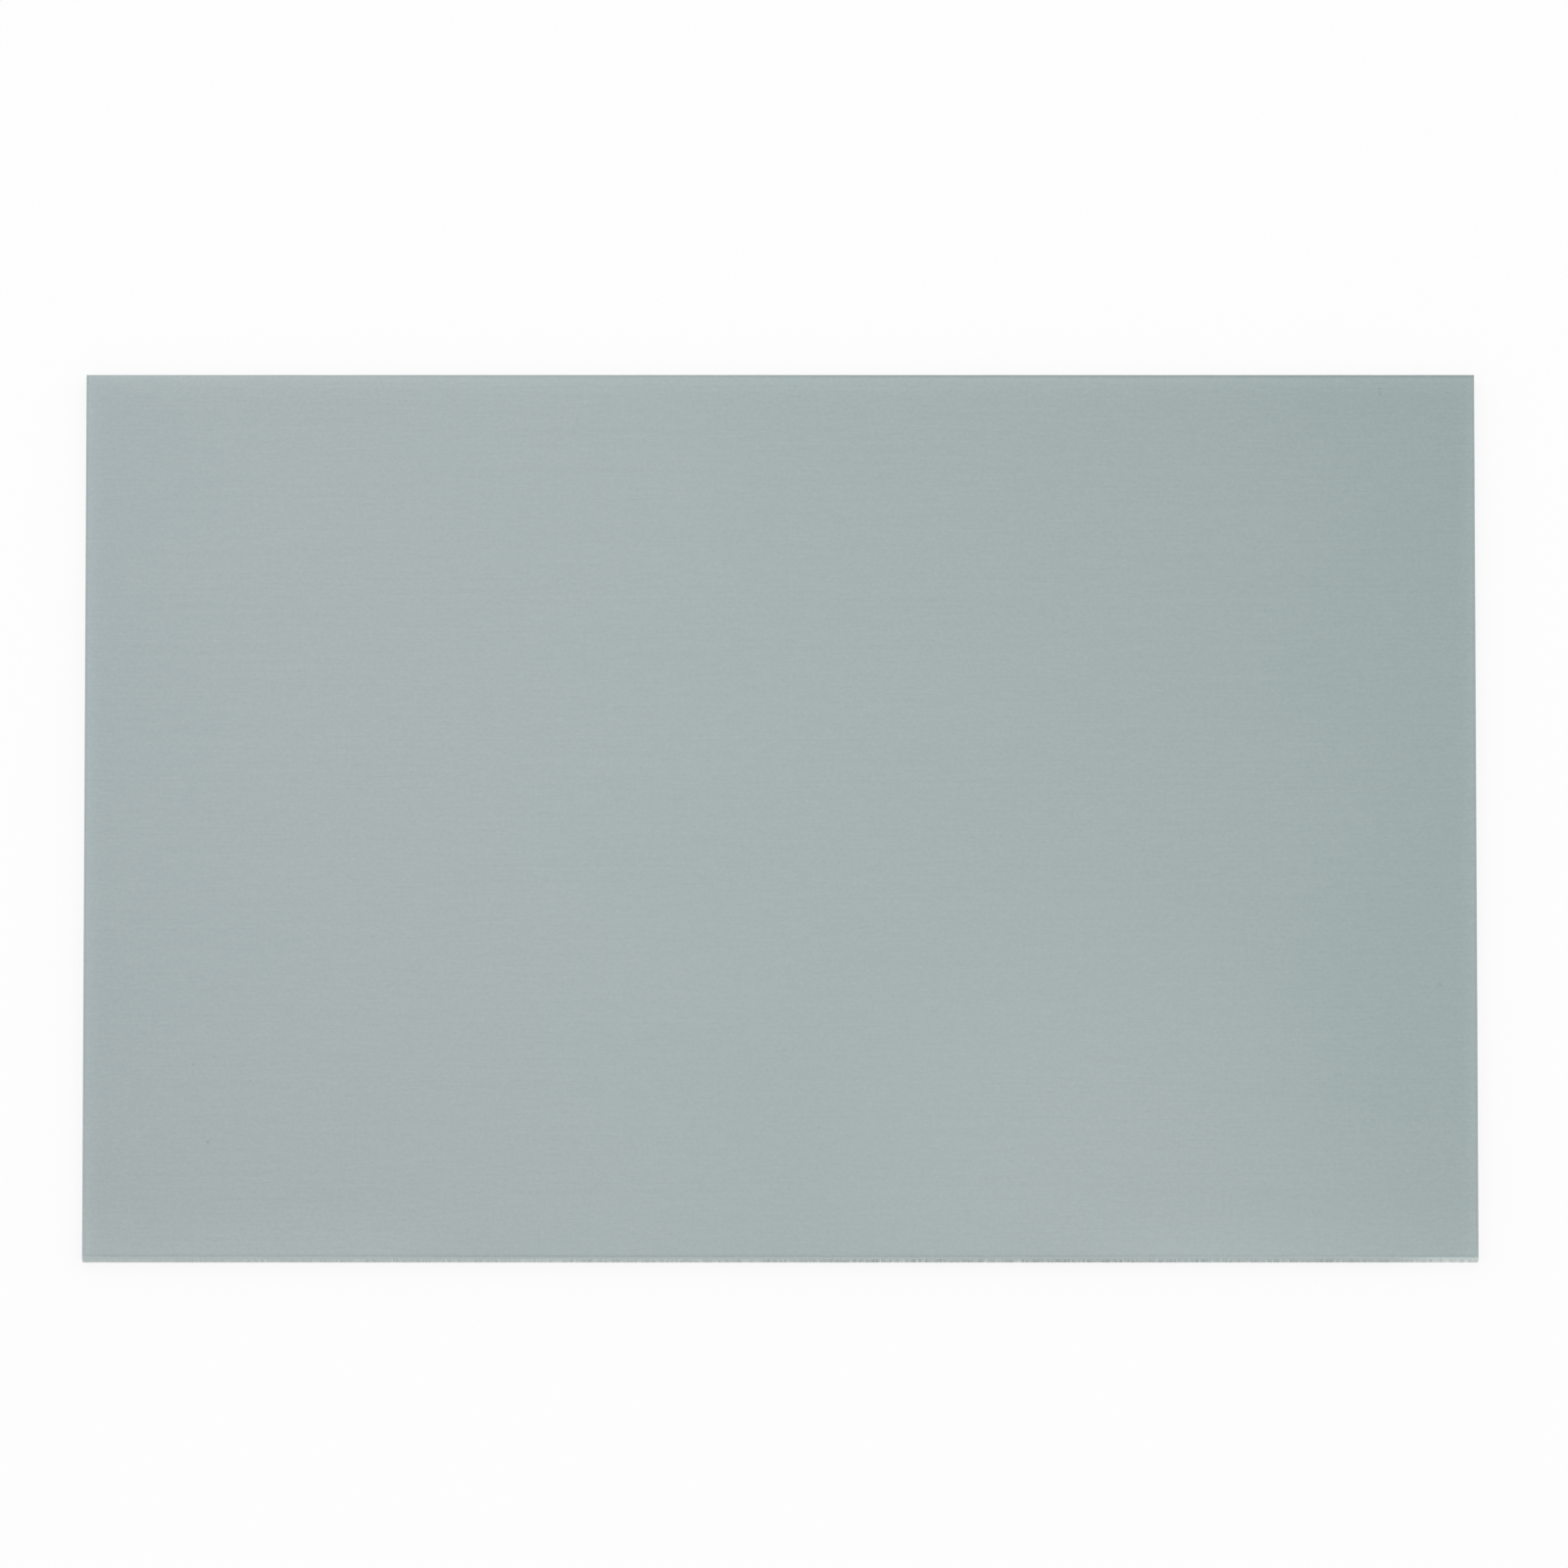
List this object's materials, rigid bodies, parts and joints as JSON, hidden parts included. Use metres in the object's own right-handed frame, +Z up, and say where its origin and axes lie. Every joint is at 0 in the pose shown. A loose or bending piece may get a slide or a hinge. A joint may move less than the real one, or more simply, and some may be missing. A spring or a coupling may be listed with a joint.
{
  "type": "anodized aluminium sheet",
  "caption": "Flat rectangular sheet of silver anodised aluminium, sheared to size, with edges rolled over at the show face; stock for panels, plates and brackets.",
  "frame": {"origin": "centre of the bounding box at the back face, on the surface that the sheet lies on", "axes": "+X along the long side and the rolled grain, +Y along the short side, +Z up out of the show face"},
  "size_m": [0.297, 0.21, 0.003],
  "materials": {
    "anodised_aluminium": "satin natural silver anodising over a fine rolled grain along X, with bare sheared edges"
  },
  "bodies": {
    "root": {"sheet": "anodised_aluminium"}
  },
  "joints": []
}
